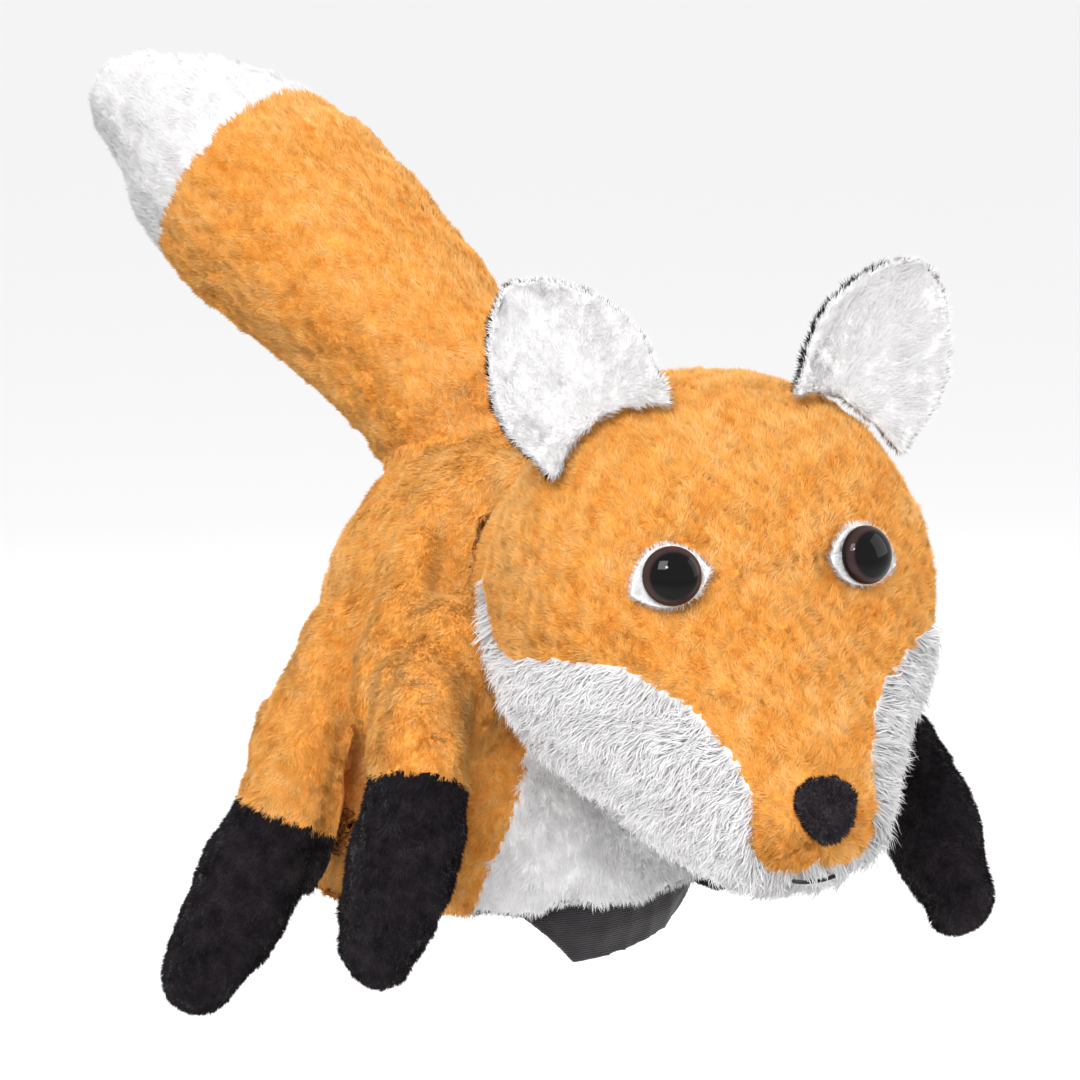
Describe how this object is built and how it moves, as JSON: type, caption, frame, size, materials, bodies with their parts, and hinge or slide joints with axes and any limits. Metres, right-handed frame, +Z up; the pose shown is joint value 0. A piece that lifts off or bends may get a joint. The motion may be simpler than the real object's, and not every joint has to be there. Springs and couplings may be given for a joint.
{
  "type": "hand puppet",
  "caption": "Fox glove puppet with padded head, four legs and a bushy tail, worked by a hand put in from below.",
  "frame": {"origin": "middle of the hand opening at the hem", "axes": "+Z up along the forearm into the puppet, -Y the way the fox faces, +X its left side"},
  "size_m": [0.1769, 0.2612, 0.2259],
  "materials": {
    "orange_plush": "short plush pile, matt",
    "white_plush": "longer white plush pile, matt",
    "black_plush": "short black plush pile, matt",
    "black_fleece": "flat black fleece, matt",
    "black_thread": "embroidery thread",
    "glove_lining": "knitted lining, matt",
    "cuff_cloth": "smooth black knitted cloth",
    "fibre_filling": "loose polyester fibre",
    "eye_felt": "white felt",
    "eye_glass": "polished black safety eye",
    "washer_nylon": "moulded nylon"
  },
  "bodies": {
    "glove_body": {"belly_panel": "white_plush", "flank_panel_left": "orange_plush", "flank_panel_right": "orange_plush", "hem_binding": "glove_lining", "inner_glove": "glove_lining", "wrist_cuff": "cuff_cloth"},
    "neck": {"neck_gusset": "orange_plush"},
    "head": {"crown_panel": "orange_plush", "muzzle_panel": "orange_plush", "rear_head_panel": "orange_plush", "chin_panel": "white_plush", "cheek_left": "white_plush", "cheek_right": "white_plush", "head_stuffing": "fibre_filling", "head_finger_pocket": "glove_lining", "eye_left": "eye_glass", "eye_right": "eye_glass", "eye_washer_left": "washer_nylon", "eye_washer_right": "washer_nylon", "eye_patch_left": "eye_felt", "eye_patch_right": "eye_felt", "nose": "black_fleece", "mouth_stitch": "black_thread"},
    "ear_left": {"ear_front_left": "white_plush", "ear_back_left": "black_plush"},
    "ear_right": {"ear_front_right": "white_plush", "ear_back_right": "black_plush"},
    "front_leg_left": {"front_leg_left_sleeve": "orange_plush", "front_leg_left_paw": "black_plush", "front_leg_left_finger_pocket": "glove_lining", "front_leg_left_stuffing": "fibre_filling"},
    "front_leg_right": {"front_leg_right_sleeve": "orange_plush", "front_leg_right_paw": "black_plush", "front_leg_right_finger_pocket": "glove_lining", "front_leg_right_stuffing": "fibre_filling"},
    "hind_leg_left": {"hind_leg_left_sleeve": "orange_plush", "hind_leg_left_paw": "black_plush", "hind_leg_left_stuffing": "fibre_filling"},
    "hind_leg_right": {"hind_leg_right_sleeve": "orange_plush", "hind_leg_right_paw": "black_plush", "hind_leg_right_stuffing": "fibre_filling"},
    "tail": {"tail_panel": "orange_plush", "tail_tip_panel": "white_plush", "tail_stuffing": "fibre_filling"}
  },
  "joints": [
    {"name": "neck_turn", "type": "hinge", "parent": "glove_body", "child": "neck", "pos_m": [0, -0.041, 0.077], "axis": [0, 0, 1], "range_deg": [-6, 14]},
    {"name": "head_nod", "type": "hinge", "parent": "neck", "child": "head", "pos_m": [0, -0.041, 0.077], "axis": [0.9703, -0.2419, 0], "range_deg": [-14, 6]},
    {"name": "ear_left_flop", "type": "hinge", "parent": "head", "child": "ear_left", "pos_m": [0.0269, -0.09318, 0.12499], "axis": [0.8135, -0.1787, -0.5534], "range_deg": [-15, 15], "stiffness_Nm_per_rad": 0.01},
    {"name": "ear_right_flop", "type": "hinge", "parent": "head", "child": "ear_right", "pos_m": [-0.03229, -0.07842, 0.12499], "axis": [-0.8022, 0.2242, -0.5534], "range_deg": [-15, 15], "stiffness_Nm_per_rad": 0.01},
    {"name": "front_leg_left_swing", "type": "hinge", "parent": "glove_body", "child": "front_leg_left", "pos_m": [0.043, -0.026, 0.058], "axis": [1, 0, 0], "range_deg": [-20, 20]},
    {"name": "front_leg_right_swing", "type": "hinge", "parent": "glove_body", "child": "front_leg_right", "pos_m": [-0.043, -0.026, 0.058], "axis": [1, 0, 0], "range_deg": [-20, 20]},
    {"name": "hind_leg_left_swing", "type": "hinge", "parent": "glove_body", "child": "hind_leg_left", "pos_m": [0.045, 0.01, 0.054], "axis": [1, 0, 0], "range_deg": [-18, 18], "stiffness_Nm_per_rad": 0.02},
    {"name": "hind_leg_right_swing", "type": "hinge", "parent": "glove_body", "child": "hind_leg_right", "pos_m": [-0.045, 0.01, 0.054], "axis": [1, 0, 0], "range_deg": [-18, 18], "stiffness_Nm_per_rad": 0.02},
    {"name": "tail_wag", "type": "hinge", "parent": "glove_body", "child": "tail", "pos_m": [-0.001, 0.023, 0.116], "axis": [0.1927, -0.6055, 0.7721], "range_deg": [-25, 25], "stiffness_Nm_per_rad": 0.08}
  ]
}
